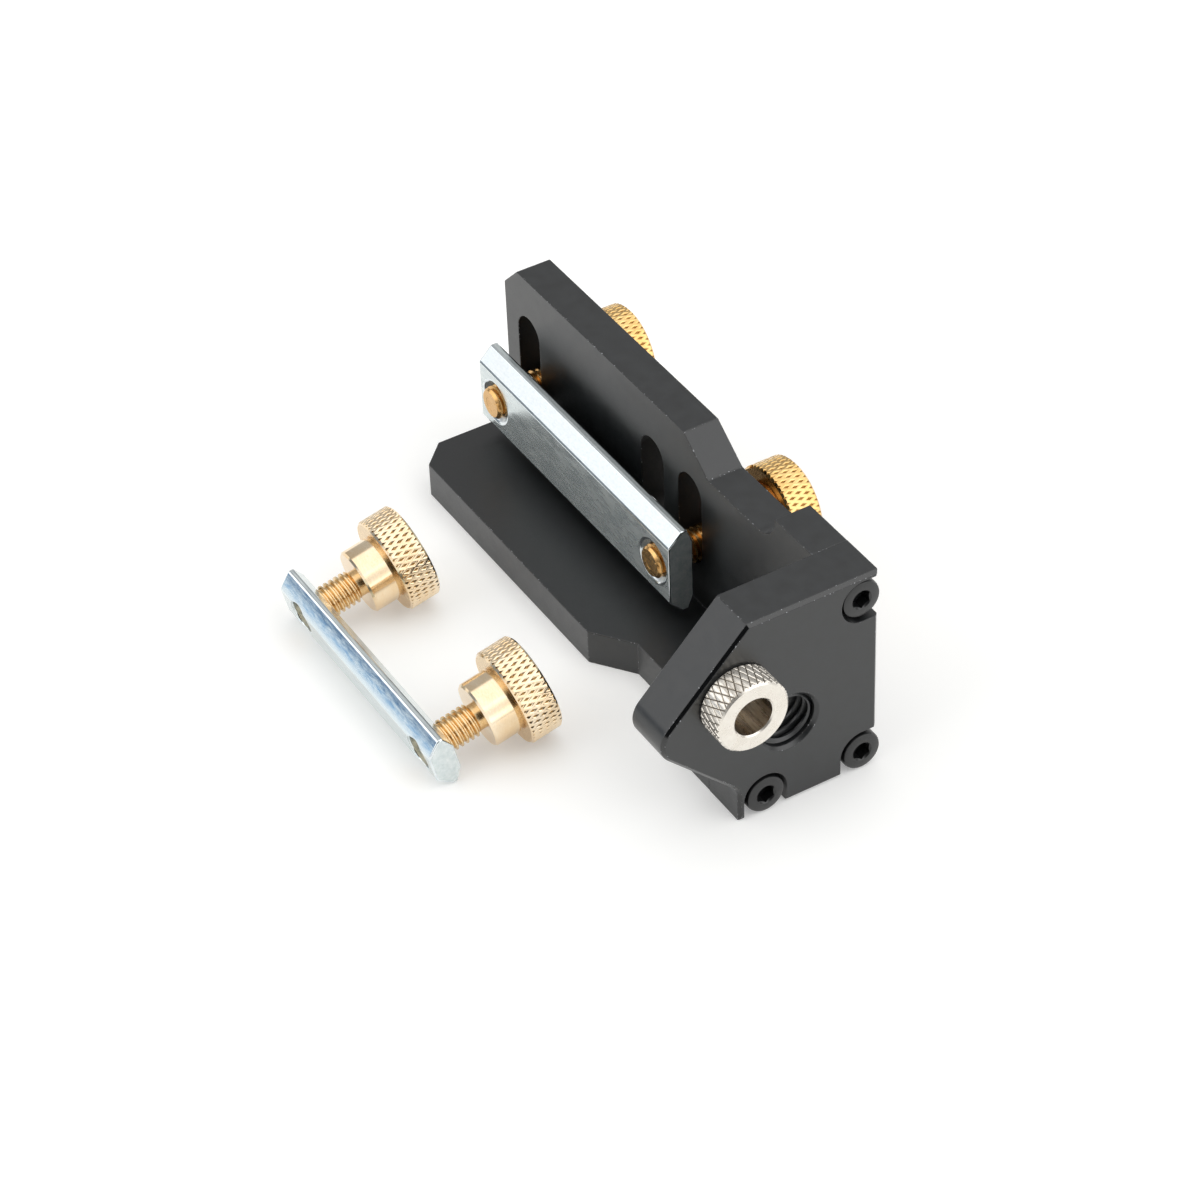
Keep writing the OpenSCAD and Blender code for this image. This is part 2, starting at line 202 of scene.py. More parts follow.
# The plated and turned metals: a tint that drifts a little, a gloss broken by fine marks and shallow waves.
# The marks are really a few hundredths of a millimetre wide, and are drawn coarser so that they show.
metals = {
    "nickelPlate": {  # warm and pale, with a soft satin gloss
        "colours": ("#e4ddd2", "#f3eee5"), "rough": (0.22, 0.34), "metallic": 0.76,
        "cloud": 3.0, "mark": 0.3, "speckle": 0.3, "stretch": (1, 1, 1), "waveDepth": 0.002,
    },
    "nickelGrooveShadeAndDirt": {  # floors of the bushing's knurl: painted shade in the grooves, with some oil and dirt
        "colours": ("#4a443d", "#7d756b"), "rough": (0.3, 0.5), "metallic": 1.0,
        "cloud": 1.0, "mark": 0.3, "speckle": 0.3, "stretch": (1, 1, 1), "waveDepth": 0.003,
    },
    "boredSteel": {  # the guide bore: light and dark streaks along it
        "colours": ("#a3988a", "#efe6d8"), "rough": (0.22, 0.38), "metallic": 1.0,
        "cloud": 0.8, "mark": 0.3, "speckle": 0.2, "stretch": (8, 1, 1), "waveDepth": 0.008,
    },
    "zincPlate": {  # fronts of the bars: cool and bright, faintly streaked along the strip
        "colours": ("#ccd7d9", "#ecf3f2"), "rough": (0.12, 0.22), "metallic": 0.7,
        "cloud": 1.2, "mark": 0.4, "speckle": 0.4, "stretch": (4, 1, 1), "waveDepth": 0.0009,
    },
    "zincGrain": {  # slopes of the large bar: paler, with a satin grain
        "colours": ("#d5dde0", "#f0f4f5"), "rough": (0.26, 0.4), "metallic": 0.78,
        "cloud": 1.6, "mark": 0.32, "speckle": 0.4, "stretch": (2, 1, 1), "waveDepth": 0.002,
    },
    "zincBlueAndPaintedSheen": {  # slopes of the small bar: blue streaks of the passivation, and a painted blue reflection that fades to plain zinc across the slope
        "colours": ("#7fa8cc", "#d8e8f2"), "plain": "#e0eaee", "rough": (0.12, 0.24), "metallic": 0.85,
        "cloud": 0.6, "mark": 0.3, "speckle": 0.45, "stretch": (5, 1, 1), "waveDepth": 0.003,
    },
    "zincDarkened": {  # the walls of the holes, dull grey as painted shade, and a darker line along the corner of front and slope
        "colours": ("#6c757a", "#979fa4"), "rough": (0.3, 0.45), "metallic": 1.0,
        "cloud": 0.7, "mark": 0.38, "speckle": 0.4, "stretch": (3, 1, 1), "waveDepth": 0.002,
    },
    "zincBurnished": {  # broken edges: rubbed bright
        "colours": ("#d3dbdf", "#eef3f4"), "rough": (0.1, 0.16), "metallic": 1.0,
        "cloud": 0.9, "mark": 0.38, "speckle": 0.3, "stretch": (4, 1, 1), "waveDepth": 0.002,
    },
    "turnedBrass": {  # polished on the lathe, with clear reflections; its pale gold is painted lighter, as the lit copy of the brass
        "colours": ("#eed1a6", "#f8e6ca"), "rough": (0.09, 0.18), "metallic": 1.0,
        "cloud": 4.0, "mark": 0.25, "speckle": 0.2, "stretch": (2, 1, 2), "waveDepth": 0.002,
    },
    "goldenBrassShaded": {  # the same brass in a deeper gold, as its painted shaded copy, on the large clamp's screws
        "colours": ("#dcb06c", "#eac789"), "rough": (0.09, 0.18), "metallic": 1.0,
        "cloud": 4.0, "mark": 0.25, "speckle": 0.2, "stretch": (2, 1, 2), "waveDepth": 0.002,
    },
    "rolledBrass": {  # threads: a softer gloss, in the pale gold of the lit copy
        "colours": ("#e0be8b", "#f2d8ac"), "rough": (0.2, 0.3), "metallic": 1.0,
        "cloud": 1.5, "mark": 0.25, "speckle": 0.3, "stretch": (1, 1, 1), "waveDepth": 0.001,
    },
    "goldenRolledShaded": {  # threads in the deeper gold of the shaded copy
        "colours": ("#cf9f62", "#deb478"), "rough": (0.2, 0.3), "metallic": 1.0,
        "cloud": 1.5, "mark": 0.25, "speckle": 0.3, "stretch": (1, 1, 1), "waveDepth": 0.001,
    },
    "brassPitShade": {  # floors of the knurl's pits: brown and dull, as painted shade in the pits
        "colours": ("#8a6533", "#c39a5f"), "rough": (0.25, 0.4), "metallic": 1.0,
        "cloud": 1.0, "mark": 0.25, "speckle": 0.4, "stretch": (1, 1, 1), "waveDepth": 0.002,
    },
    "goldenPitShade": {  # the same painted pit shade, in the deeper gold of the shaded copy
        "colours": ("#7c5424", "#b28447"), "rough": (0.25, 0.4), "metallic": 1.0,
        "cloud": 1.0, "mark": 0.25, "speckle": 0.4, "stretch": (1, 1, 1), "waveDepth": 0.002,
    },
}
metalNoise = {
    "cloudDetail": 4.0, "markDetail": 2.0, "toneSpan": (0.32, 0.68), "glossSpan": (0.3, 0.7), "bump": 0.4,
}


def metalMaterial(name, fade=None):  # fade is a direction, and where along it the painted blue reflection starts and is full
    material, tree, output, spot = startMaterial(name)
    look = metals[name]
    noise = metalNoise
    grainWay = addNode(tree, "ShaderNodeMapping", {"Scale": [1 / s for s in look["stretch"]]},
                       {"Vector": spot})
    place = grainWay.outputs[0]
    cloud = addNode(tree, "ShaderNodeTexNoise",
                    {"Scale": perMm(look["cloud"]), "Detail": noise["cloudDetail"]}, {"Vector": place})
    mark = addNode(tree, "ShaderNodeTexNoise",
                   {"Scale": perMm(look["mark"]), "Detail": noise["markDetail"]}, {"Vector": place})
    both = addNode(tree, "ShaderNodeMix", {0: look["speckle"]},
                   {2: cloud.outputs["Fac"], 3: mark.outputs["Fac"]})
    tone = addNode(tree, "ShaderNodeMapRange", span("From", noise["toneSpan"]), {"Value": both.outputs[0]})
    colour = addNode(tree, "ShaderNodeMix", tints(look["colours"]), {0: tone.outputs[0]}, data_type="RGBA")
    # a painted blue reflection, fading across the slope
    if fade:
        along = addNode(tree, "ShaderNodeVectorMath", {1: fade[0]}, {0: spot}, operation="DOT_PRODUCT")
        share = addNode(tree, "ShaderNodeMapRange", span("From", fade[1:]), {"Value": along.outputs["Value"]},
                        interpolation_type="SMOOTHSTEP")
        colour = addNode(tree, "ShaderNodeMix", {6: hexColour(look["plain"])},
                         {0: share.outputs[0], 7: colour.outputs[2]}, data_type="RGBA")
    rough = addNode(tree, "ShaderNodeMapRange",
                    {**span("From", noise["glossSpan"]), **span("To", look["rough"])},
                    {"Value": cloud.outputs["Fac"]})
    bump = addNode(tree, "ShaderNodeBump", {"Strength": noise["bump"], "Distance": look["waveDepth"] * mm},
                   {"Height": mark.outputs["Fac"]})
    shader = addNode(tree, "ShaderNodeBsdfPrincipled", {"Metallic": look["metallic"]},
                     {"Base Color": colour.outputs[2], "Roughness": rough.outputs[0],
                      "Normal": bump.outputs[0]})
    tree.links.new(shader.outputs[0], output.inputs["Surface"])
    return material


anodisedLook = anodisedMaterial("anodisedAluminium")
bedShadeLook = anodisedMaterial("anodisedAluminiumBedShaded")
cutShadeLook = anodisedMaterial("anodisedAluminiumCutShaded")
milledShadeLook = anodisedMaterial("anodisedAluminiumMilledShaded")
wornLook = wornEdgeMaterial()
oxideLook = oxideMaterial()
nickelLook = metalMaterial("nickelPlate")
# the groove floors of the bushing's knurl get painted shade, with some oil and dirt
grooveShadeLook = metalMaterial("nickelGrooveShadeAndDirt")
boreLook = metalMaterial("boredSteel")
zincLook = metalMaterial("zincPlate")
zincEdgeLook = metalMaterial("zincBurnished")
zincDarkenedLook = metalMaterial("zincDarkened")
brassLooks = {  # head, pits with painted shade, and thread: the pale set is a painted lit copy and the golden set a painted shaded copy of one brass
    "pale": [metalMaterial(name) for name in ("turnedBrass", "brassPitShade", "rolledBrass")],
    "shadedGolden": [metalMaterial(name) for name in ("goldenBrassShaded", "goldenPitShade", "goldenRolledShaded")],
}
print("materials made")


def only(piece):  # this piece alone is selected and active
    bpy.ops.object.select_all(action="DESELECT")
    piece.select_set(True)
    bpy.context.view_layer.objects.active = piece


def pick(piece, kind, test, sharpOnly=False):  # in edit mode, selects what the test takes
    bpy.ops.object.mode_set(mode="EDIT")
    bpy.ops.mesh.select_mode(type=kind)
    bpy.ops.mesh.select_all(action="DESELECT")
    bpy.ops.object.mode_set(mode="OBJECT")
    mesh = piece.data
    if kind == "VERT":
        for v in mesh.vertices:
            v.select = test(v.co)
    elif kind == "EDGE":
        for e in mesh.edges:
            taken = test(mesh.vertices[e.vertices[0]].co, mesh.vertices[e.vertices[1]].co)
            e.select = taken and (e.use_edge_sharp or not sharpOnly)
    else:
        for f in mesh.polygons:
            f.select = test(f)
    bpy.ops.object.mode_set(mode="EDIT")


def profileLine(name, points):  # a chain of edges from one merged point, as (radius, height)
    bpy.ops.object.select_all(action="DESELECT")
    bpy.ops.mesh.primitive_plane_add(size=1)
    piece = bpy.context.object
    piece.name = name
    bpy.ops.object.mode_set(mode="EDIT")
    bpy.ops.mesh.select_mode(type="VERT")
    bpy.ops.mesh.merge(type="CENTER")
    bpy.ops.transform.translate(value=(points[0][0], 0, points[0][1]))
    for last, here in zip(points, points[1:]):
        step = (here[0] - last[0], 0, here[1] - last[1])
        bpy.ops.mesh.extrude_region_move(TRANSFORM_OT_translate={"value": step})
    bpy.ops.mesh.select_all(action="SELECT")
    return piece


def mend(piece, gap=shared["weld"]):  # welds doubles and turns the faces outwards
    bpy.ops.mesh.select_all(action="SELECT")
    bpy.ops.mesh.remove_doubles(threshold=gap)
    bpy.ops.mesh.normals_make_consistent(inside=False)
    bpy.ops.object.mode_set(mode="OBJECT")


def turned(name, points, sides):  # spun round Z, from a line that ends on the axis or meets itself
    piece = profileLine(name, points)
    bpy.ops.mesh.spin(steps=sides, angle=fullTurn, center=(0, 0, 0), axis=(0, 0, 1))
    mend(piece)
    return piece


def combine(piece, tool, how):  # an exact Boolean, after which the tool is gone
    only(piece)
    step = piece.modifiers.new(how.lower(), "BOOLEAN")
    step.operation = how
    step.solver = "EXACT"
    step.object = tool
    bpy.ops.object.modifier_apply(modifier=step.name)
    bpy.data.objects.remove(tool)
    return piece


# A profile screwed up Z past both ends, with its ends filled.
def helix(name, points, pitch, low, high, steps=shared["threadSteps"]):
    spare = shared["spareTurns"] / 2 * pitch
    piece = profileLine(name, [(r, z + low - spare) for r, z in points])
    bpy.ops.object.mode_set(mode="OBJECT")
    step = piece.modifiers.new("thread", "SCREW")
    step.angle = fullTurn
    step.screw_offset = pitch
    step.iterations = math.ceil((high - low) / pitch) + shared["spareTurns"]
    step.steps = steps
    step.render_steps = steps
    step.use_merge_vertices = True
    step.merge_threshold = shared["weld"]
    bpy.ops.object.modifier_apply(modifier=step.name)
    bpy.ops.object.mode_set(mode="EDIT")
    bpy.ops.mesh.select_all(action="SELECT")
    bpy.ops.mesh.remove_doubles(threshold=shared["weld"])
    bpy.ops.mesh.fill_holes(sides=0)
    mend(piece)
    return piece


def threadProfile(radius, depth, pitch):  # one turn of an outside thread, root first
    root = radius - depth
    radii = (root, root, radius, radius, root, root)
    return [(r, share * pitch) for r, share in zip(radii, (0, *shared["threadFlanks"], 1))]


def knurled(name, radius, columns, rows, low, high, cuts):  # a closed cylinder covered in diamonds
    bpy.ops.object.select_all(action="DESELECT")
    rowHeight = (high - low) / rows
    bpy.ops.mesh.primitive_cylinder_add(vertices=columns, radius=radius, depth=rowHeight,
                                        end_fill_type="NOTHING", location=(0, 0, low + rowHeight / 2))
    piece = bpy.context.object
    piece.name = name
    bpy.ops.object.transform_apply(location=True, rotation=True, scale=True)
    step = piece.modifiers.new("rows", "ARRAY")
    step.count = rows
    step.use_relative_offset = False
    step.use_constant_offset = True
    step.constant_offset_displace = (0, 0, rowHeight)
    step.use_merge_vertices = True
    step.merge_threshold = shared["place"]
    bpy.ops.object.modifier_apply(modifier=step.name)
    bpy.ops.object.mode_set(mode="EDIT")
    bpy.ops.mesh.select_all(action="SELECT")
    bpy.ops.mesh.poke()

    def atHeight(point, height):
        return abs(point.z - height) < shared["place"]

    def onLine(point):  # between two rows and not in the middle of one
        row = (point.z - low) / rowHeight
        return abs(row - round(row)) < shared["lineShare"]

    def squareEdge(a, b):  # an edge of the first grid, inside its rims
        atRim = any(atHeight(a, end) and atHeight(b, end) for end in (low, high))
        return onLine(a) and onLine(b) and not atRim

    pick(piece, "VERT", lambda point: not onLine(point))  # the poked middles, out to the full radius
    swell = 1 / math.cos(math.pi / columns)
    bpy.ops.transform.resize(value=(swell, swell, 1), center_override=(0, 0, (low + high) / 2))
    pick(piece, "EDGE", squareEdge)
    bpy.ops.mesh.dissolve_edges(use_verts=False)
    pick(piece, "FACE", lambda face: True)
    for width, depth in cuts:
        bpy.ops.mesh.inset(thickness=width, depth=depth, use_individual=True, use_even_offset=True)
    for end in (low, high):
        pick(piece, "EDGE", lambda a, b: atHeight(a, end) and atHeight(b, end))
        bpy.ops.mesh.edge_face_add()
    mend(piece, shared["fineWeld"])
    return piece


def putAt(piece, place, axis):  # from millimetres along Z to metres along the axis, its place in its mesh
    turn = Vector(axis).to_track_quat("Z", "Y").to_matrix().to_4x4()
    only(piece)
    piece.matrix_world = Matrix.Translation(Vector(place)) @ turn @ Matrix.Scale(mm, 4)
    bpy.ops.object.transform_apply(location=True, rotation=True, scale=True)


def smooth(piece, angle):  # rounds the shading, and marks sharper edges as sharp
    only(piece)
    bpy.ops.object.shade_smooth_by_angle(angle=math.radians(angle))


def flatShade(piece):  # large flat faces keep their own normals beside the bevels
    smooth(piece, shared["shadeAngle"])
    step = piece.modifiers.new("flats", "WEIGHTED_NORMAL")
    step.keep_sharp = True
    step.weight = shared["flatWeight"]
    bpy.ops.object.modifier_apply(modifier=step.name)


def finished(piece, node, body, slot, *looks):  # names, materials and its place in the frame
    piece.name = node + "_look"
    piece.data.name = piece.name
    marks = [face.material_index for face in piece.data.polygons]
    piece.data.materials.clear()
    for look in looks:
        piece.data.materials.append(look)
    for face, mark in zip(piece.data.polygons, marks):
        face.material_index = mark
    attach(piece, body)
    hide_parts(node)


def ownCopy(source):  # a copy with its own mesh
    piece = source.copy()
    piece.data = source.data.copy()
    bpy.context.scene.collection.objects.link(piece)
    return piece


def copyOfNode(node, *looks):  # a welded copy, its flat faces whole again
    piece = ownCopy(frame["nodes"][node])
    piece.parent = None
    for key in list(piece.keys()):
        del piece[key]
    piece.data.materials.clear()
    only(piece)
    bpy.ops.object.mode_set(mode="EDIT")
    bpy.ops.mesh.select_all(action="SELECT")
    bpy.ops.mesh.remove_doubles(threshold=shared["nodeWeld"])
    bpy.ops.mesh.customdata_custom_splitnormals_clear()
    bpy.ops.mesh.dissolve_limited(angle_limit=math.radians(shared["flatAngle"]))
    bpy.ops.object.mode_set(mode="OBJECT")
    for look in looks:
        piece.data.materials.append(look)
    return piece


def easeEdges(piece, width, segments, edgeMark):  # a bevel on the sharp edges, in a look of its own
    only(piece)
    step = piece.modifiers.new("ease", "BEVEL")
    step.width = width * mm
    step.segments = segments
    step.limit_method = "ANGLE"
    step.angle_limit = math.radians(shared["bevelAngle"])
    step.use_clamp_overlap = False
    step.miter_outer = "MITER_ARC"
    step.material = edgeMark
    bpy.ops.object.modifier_apply(modifier=step.name)


# The angle body: two legs with slots and notches, edges broken by hand.
angleBody = {
    "edge": 0.18, "segments": 2,
    "slots": ("slot_far", "slot_middle", "slot_near"), "slotReach": 0.5, "slotLow": 8.0, "slotHigh": 33.5,
    "bedUp": 0.99,  # a face of the bed points up at least this much
}


def makeAngleBody():
    size = angleBody
    plain, edgeStrip, milledShaded, bed = range(4)  # the order of its looks
    piece = copyOfNode("angle_body", anodisedLook, wornLook)
    easeEdges(piece, size["edge"], size["segments"], edgeStrip)
    flatShade(piece)
    spaces = [o["box_m"] for o in frame["record"]["physics"]["openings"] if o["name"] in size["slots"]]
    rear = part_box("angle_body")[1].y
    reach, slotLow, slotHigh = [size[key] * mm for key in ("slotReach", "slotLow", "slotHigh")]
    for face in piece.data.polygons:  # the walls of the slots are duller and get painted shade, and so does the bed of the bottom leg
        spot = face.center
        across = any(near[0] - reach < spot.x < far[0] + reach for near, far in spaces)
        if across and slotLow < spot.z < slotHigh and reach < spot.y < rear - reach:
            face.material_index = milledShaded
        elif face.material_index == plain and face.normal.z > size["bedUp"] and spot.z < slotLow:
            face.material_index = bed
    finished(piece, "angle_body", "frame", "black_anodised", anodisedLook, wornLook, milledShadeLook, bedShadeLook)


# The end plate: its bevels, and the coarse thread inside both guide holes.
endPlate = {
    "frontEdge": 0.55, "frontSegments": 1, "edge": 0.1, "segments": 2, "seat": 4.02, "mouth": 6.0,
    "creaseAngle": 28, "holeRadius": 5.0, "pitch": 1.5, "threadSteps": 36,
    "ridge": 0.72, "ridgeSunk": 0.25, "ridgeFlanks": (0.08, 0.44, 0.56, 0.92),  # in pitches
    "threadStart": 0.9, "threadFull": 1.6, "trimRoom": 0.1, "trimSides": 48,  # countersunk at both ends
}


def guideThread(place, length):
    size = endPlate
    foot = size["holeRadius"] + size["ridgeSunk"]
    top = size["holeRadius"] - size["ridge"]
    pitch, room = size["pitch"], size["trimRoom"]
    start, full = size["threadStart"], size["threadFull"]
    ring = [(r, share * pitch) for r, share in zip((foot, top, top, foot), size["ridgeFlanks"])]
    ridge = helix("ridge", ring + [ring[0]], pitch, 0, length, size["threadSteps"])
    line = [(0, start), (top + room, start), (foot + room, full), (foot + room, length - full),
            (top + room, length - start), (0, length - start)]
    combine(ridge, turned("trim", line, size["trimSides"]), "INTERSECT")
    putAt(ridge, place, alongX)
    return ridge


def makeEndPlate():
    size = endPlate
    edgeStrip, cutShaded = 1, 2  # places of its looks
    piece = copyOfNode("end_plate", anodisedLook, wornLook, cutShadeLook)
    low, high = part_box("end_plate")
    front = high.x - shared["nodePlace"]
    mounts = {m["name"]: Vector(m["pos_m"]) for m in frame["record"]["mounts"]}
    holes = [mounts["guide_bore"], mounts["small_guide_hole"]]
    seats = []
    for node in capNodes:
        seatLow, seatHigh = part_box(node)
        seats.append((seatLow + seatHigh) / 2)

    def onRim(a, b):  # an edge of the front face's outline, away from its seats and holes
        point = (a + b) / 2
        inSeat = any(max(abs(point.y - s.y), abs(point.z - s.z)) < size["seat"] * mm for s in seats)
        inHole = any(math.hypot(point.y - h.y, point.z - h.z) < size["mouth"] * mm for h in holes)
        return min(a.x, b.x) > front and not inSeat and not inHole

    smooth(piece, size["creaseAngle"])
    pick(piece, "EDGE", onRim, sharpOnly=True)
    # the front chamfer gets darker colours as a painted dark reflection
    bpy.ops.mesh.bevel(offset=size["frontEdge"] * mm, segments=size["frontSegments"], affect="EDGES",
                       material=cutShaded, clamp_overlap=False)
    bpy.ops.object.mode_set(mode="OBJECT")
    easeEdges(piece, size["edge"], size["segments"], edgeStrip)
    ridges = [guideThread((low.x, hole.y, hole.z), (high.x - low.x) / mm) for hole in holes]
    only(piece)
    for ridge in ridges:
        ridge.data.materials.append(anodisedLook)
        ridge.select_set(True)
    bpy.ops.object.join()
    flatShade(piece)
    finished(piece, "end_plate", "frame", "black_anodised", anodisedLook, wornLook, cutShadeLook)


# The socket head screws: a chamfered head with fine upright ribs and a hexagon.
capScrew = {
    "headRadius": 3.5, "headLength": 4.0, "faceEdge": 0.5, "faceRound": (0.35, 0.3), "footEdge": 0.15,
    "ribs": 40, "ribDepth": 0.1, "ribShare": 0.25,  # half of a rib's width, in ribs
    "hexAcross": 3.0, "hexDepth": 2.0, "hexMouth": 1.82, "hexMouthDepth": 0.32, "mouthSides": 48,
    "shankRadius": 1.95, "shankLength": 12.0, "tipEdge": 0.4, "smoothAngle": 28,
}


def makeCapScrews():
    size = capScrew
    radius, ease, footEase = size["headRadius"], size["faceEdge"], size["footEdge"]
    shank, tipEase = size["shankRadius"], size["tipEdge"]
    seat = -size["headLength"]
    tip = seat - size["shankLength"]
    roundIn, roundDown = [share * ease for share in size["faceRound"]]
    line = [(0, tip), (shank - tipEase, tip), (shank, tip + tipEase), (shank, seat),
            (radius - footEase, seat), (radius, seat + footEase), (radius, -ease),
            (radius - roundIn, -roundDown), (radius - ease, 0), (0, 0)]
    first = turned("capScrew", line, 2 * size["ribs"])
    ribAngle = fullTurn / size["ribs"]

    def valley(point):
        onSide = math.hypot(point.x, point.y) > radius - shared["place"]
        step = math.atan2(point.y, point.x) / ribAngle
        return onSide and abs(step - round(step)) > size["ribShare"]

    pick(first, "VERT", valley)
    shrink = 1 - size["ribDepth"] / radius
    bpy.ops.transform.resize(value=(shrink, shrink, 1), center_override=(0, 0, 0))
    bpy.ops.object.mode_set(mode="OBJECT")
    bpy.ops.object.select_all(action="DESELECT")
    bpy.ops.mesh.primitive_cylinder_add(vertices=6, radius=size["hexAcross"] / math.sqrt(3),
                                        depth=2 * size["hexDepth"], location=(0, 0, 0))
    combine(first, bpy.context.object, "DIFFERENCE")
    mouth, deep = size["hexMouth"], size["hexMouthDepth"]
    cone = [(0, deep), (mouth + deep, deep), (mouth - deep, -deep), (0, -deep)]
    combine(first, turned("mouth", cone, size["mouthSides"]), "DIFFERENCE")
    smooth(first, size["smoothAngle"])
    for node in capNodes:
        low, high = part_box(node)
        piece = ownCopy(first)
        putAt(piece, (high.x, (low.y + high.y) / 2, (low.z + high.z) / 2), alongX)
        finished(piece, node, "frame", "black_oxide", oxideLook)
    bpy.data.objects.remove(first)


# The guide bushing: a knurled collar on a threaded shank, with the guide bore through both.
bushing = {
    "collarRadius": 6.5, "collarLength": 5.5, "collarEdge": 0.42, "collarSides": 128,
    "columns": 31, "rowHeight": 3.0, "rows": 3,
    "grooves": [(0.06, 0), (0.08, 0.14), (0.14, 0.03), (0.12, 0.015)],  # inset and rise of each step up
    "boreRadius": 3.45, "boreEdge": 0.25, "boreSides": 96, "drillPast": 1.0,
    "shankRadius": 4.9, "shankLength": 8.8, "shankEdge": 0.7, "shankSides": 96, "shankSunk": 0.3,
    "threadDepth": 0.7, "pitch": 1.5, "trimRoom": 0.1, "smoothAngle": 30,
    "floorReach": 0.05, "floorTilt": 0.3,  # what counts as the floor of a groove
}


def makeBushing():
    size = bushing
    radius, length, ease = size["collarRadius"], size["collarLength"], size["collarEdge"]
    bore, boreEase, past = size["boreRadius"], size["boreEdge"], size["drillPast"]
    shank, shankEase, sunk = size["shankRadius"], size["shankEdge"], size["shankSunk"]
    room, pitch = size["trimRoom"], size["pitch"]
    foot = -size["shankLength"]
    reach = size["rows"] * size["rowHeight"] / 2
    grooveRadius = radius - sum(step[1] for step in size["grooves"])
    collar = knurled("collar", grooveRadius, size["columns"], size["rows"], length / 2 - reach,
                     length / 2 + reach, size["grooves"])
    line = [(0, 0), (radius - ease, 0), (radius + room, ease + room), (radius + room, length - ease - room),
            (radius - ease, length), (0, length)]
    combine(collar, turned("blank", line, size["collarSides"]), "INTERSECT")
    thread = helix("shank", threadProfile(shank, size["threadDepth"], pitch), pitch, foot, sunk)
    line = [(0, foot), (shank - shankEase, foot), (shank + room, foot + shankEase + room),
            (shank + room, sunk), (0, sunk)]
    combine(thread, turned("trim", line, size["shankSides"]), "INTERSECT")
    combine(collar, thread, "UNION")
    wide = bore + boreEase + past
    line = [(0, foot - past), (wide, foot - past), (bore, foot + boreEase), (bore, length - boreEase),
            (wide, length + past), (0, length + past)]
    combine(collar, turned("drill", line, size["boreSides"]), "DIFFERENCE")
    low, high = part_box("guide_bushing")
    axisY, axisZ = (low.y + high.y) / 2, (low.z + high.z) / 2
    putAt(collar, (high.x - length * mm, axisY, axisZ), alongX)
    smooth(collar, size["smoothAngle"])
    finished(collar, "guide_bushing", "bushing", "nickel", nickelLook, boreLook, grooveShadeLook)
    plated, bored, grooveShaded = range(3)  # the order of its looks
    for face in collar.data.polygons:  # the bore is darker, and the floors of the grooves get painted shade
        out = math.hypot(face.center.y - axisY, face.center.z - axisZ) / mm
        inBore = out < bore + size["floorReach"]
        inGroove = abs(out - grooveRadius) < size["floorReach"] and abs(face.normal.x) < size["floorTilt"]
        face.material_index = bored if inBore else grooveShaded if inGroove else plated


# The clamp bars: zinc plated strip with the slopes of its profile, edges just broken.
clampBars = {
    "nodes": {
        "clamp_bar": ("clamp", "clamp_knob_far", "clamp_knob_near"),
        "spare_bar": ("spare_clamp", "spare_knob_far", "spare_knob_near"),
    },
    "edge": 0.28, "segments": 4, "creaseAngle": 28, "holeEdge": 0.08, "holeSegments": 2, "holeReach": 3.9,
    "lipWider": {"clamp_bar": 0.35, "spare_bar": 0.0},  # the flat upper edge, out over the rear bevel
    "backBevel": 1.4,
    "slope": (0.721, 0.693), "flat": 0.999,  # a slope's normal, forward and up, and least cosine to it
    "crown": {"clamp_bar": 0.015, "spare_bar": 0.035}, "crownCuts": (-0.6, -0.2, 0.2, 0.6),  # in half widths
    "tintSpan": (1.0, 0.1),  # where the painted blue reflection starts and is full, in half widths
    # parts of a face's normal that give it its look
    "slopeUp": (0.5, 0.85), "cornerUp": (0.15, 0.5), "cornerFront": 0.6, "cornerEnd": 0.1, "wallTilt": 0.3,
}


def crownFlat(piece, way, amount):  # a slightly rounded flat, as drawn strip has
    size = clampBars
    across = alongX.cross(way)
    flat = [f for f in piece.data.polygons if f.normal.dot(way) > size["flat"]]
    height = flat[0].center.dot(way)
    spots = [piece.data.vertices[i].co.dot(across) for f in flat for i in f.vertices]
    middle, half = (min(spots) + max(spots)) / 2, (max(spots) - min(spots)) / 2
    for share in size["crownCuts"]:
        pick(piece, "FACE", lambda f: f.normal.dot(way) > size["flat"])
        bpy.ops.mesh.bisect(plane_co=across * (middle + share * half), plane_no=across)
    bpy.ops.object.mode_set(mode="OBJECT")
    for v in piece.data.vertices:
        share = (v.co.dot(across) - middle) / half
        if abs(v.co.dot(way) - height) < shared["nodeFlat"] and abs(share) < 1:
            v.co += way * amount * half * (1 - share * share)
    start, full = size["tintSpan"]
    return across, middle + start * half, middle + full * half


